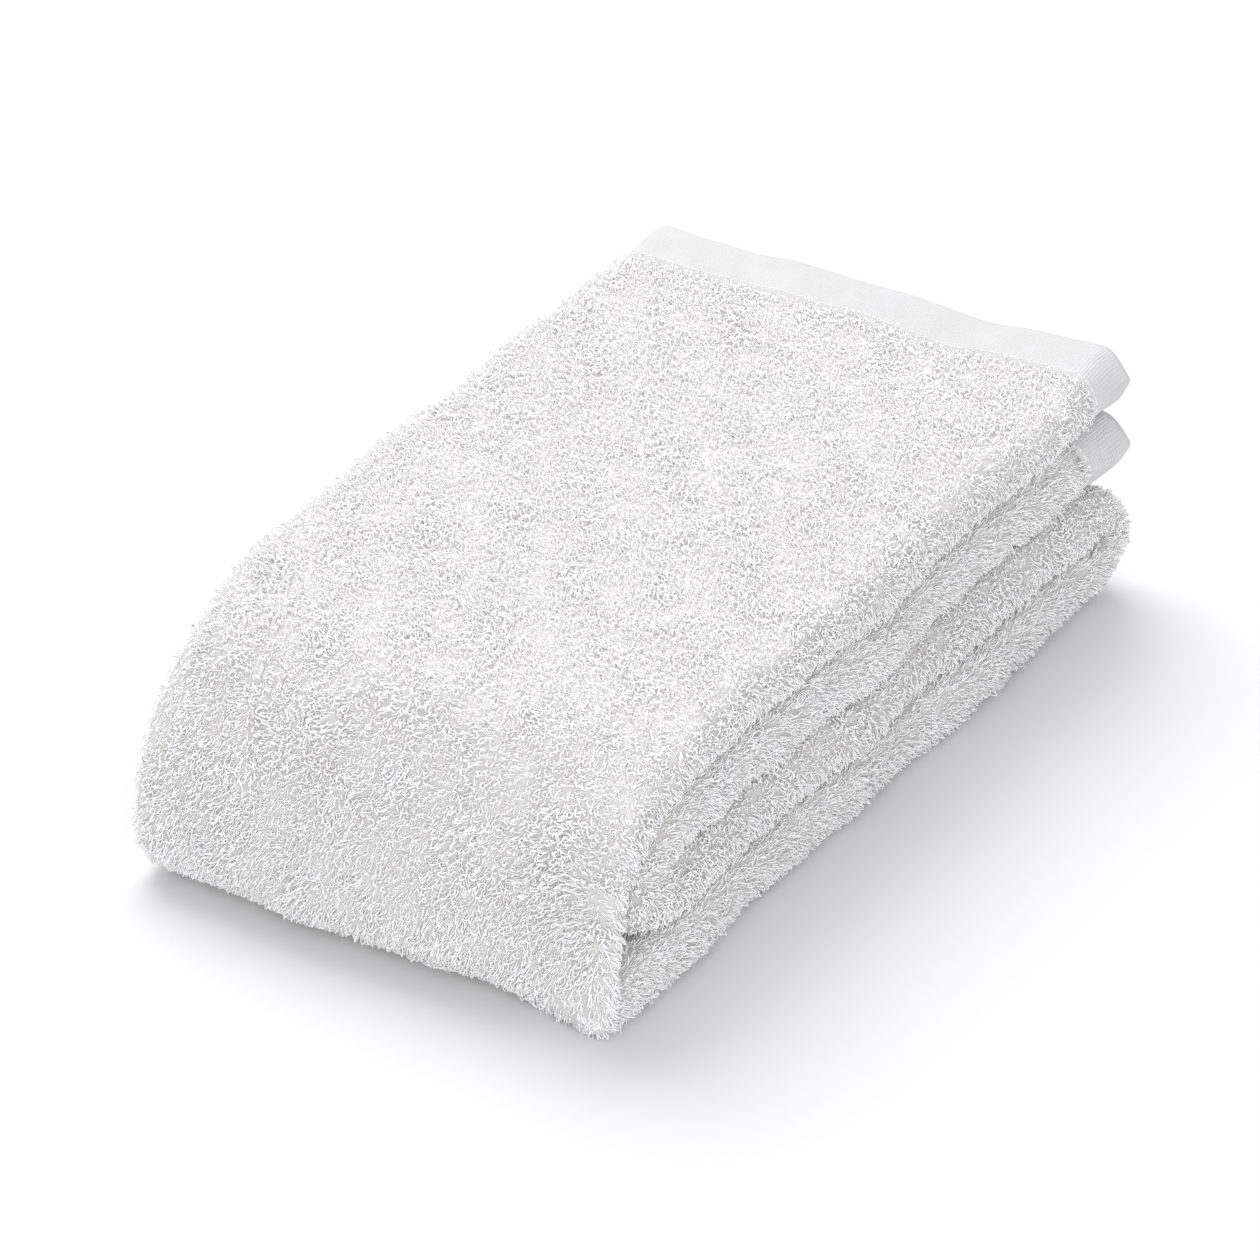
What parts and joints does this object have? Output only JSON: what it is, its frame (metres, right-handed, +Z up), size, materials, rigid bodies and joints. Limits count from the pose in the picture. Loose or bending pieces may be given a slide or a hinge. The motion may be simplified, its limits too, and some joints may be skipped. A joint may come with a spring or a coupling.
{
  "type": "folded bath towel",
  "caption": "White cotton terry bath towel, folded lengthwise and crosswise into a flat pack, with flat-woven hems and a top flap that lifts at the front fold.",
  "frame": {"origin": "middle of the flat underside that the folded towel lies on", "axes": "+Z up; +Y along the folded towel, from the front folds to the hemmed ends; +X across it, towards the rounded lengthwise fold"},
  "size_m": [0.194, 0.35, 0.094],
  "materials": {
    "terry_pile": "soft white cotton loop pile, matt with a faint sheen",
    "flat_weave": "flat white cotton weave with fine ribs, matt",
    "sewing_thread": "white sewing thread, slightly lustrous"
  },
  "bodies": {
    "folded_stack": {"outer_front_fold": "terry_pile", "side_hem_a_outer_front_fold": "flat_weave", "side_hem_b_outer_front_fold": "flat_weave", "bottom_panel": "terry_pile", "side_hem_a_bottom_panel": "flat_weave", "side_hem_b_bottom_panel": "flat_weave", "far_fold": "terry_pile", "side_hem_a_far_fold": "flat_weave", "side_hem_b_far_fold": "flat_weave", "third_panel": "terry_pile", "side_hem_a_third_panel": "flat_weave", "side_hem_b_third_panel": "flat_weave", "inner_front_fold": "terry_pile", "side_hem_a_inner_front_fold": "flat_weave", "side_hem_b_inner_front_fold": "flat_weave", "second_panel": "terry_pile", "side_hem_a_second_panel": "flat_weave", "side_hem_b_second_panel": "flat_weave", "second_hem": "flat_weave", "second_hem_thread": "sewing_thread"},
    "top_flap": {"top_panel": "terry_pile", "top_hem": "flat_weave", "top_hem_thread": "sewing_thread", "side_hem_a_top_panel": "flat_weave", "side_hem_b_top_panel": "flat_weave"}
  },
  "joints": [
    {"name": "top_flap_lift", "type": "hinge", "parent": "folded_stack", "child": "top_flap", "pos_m": [0, -0.11847, 0.094], "axis": [1, 0, 0], "range_deg": [0, 90]}
  ]
}
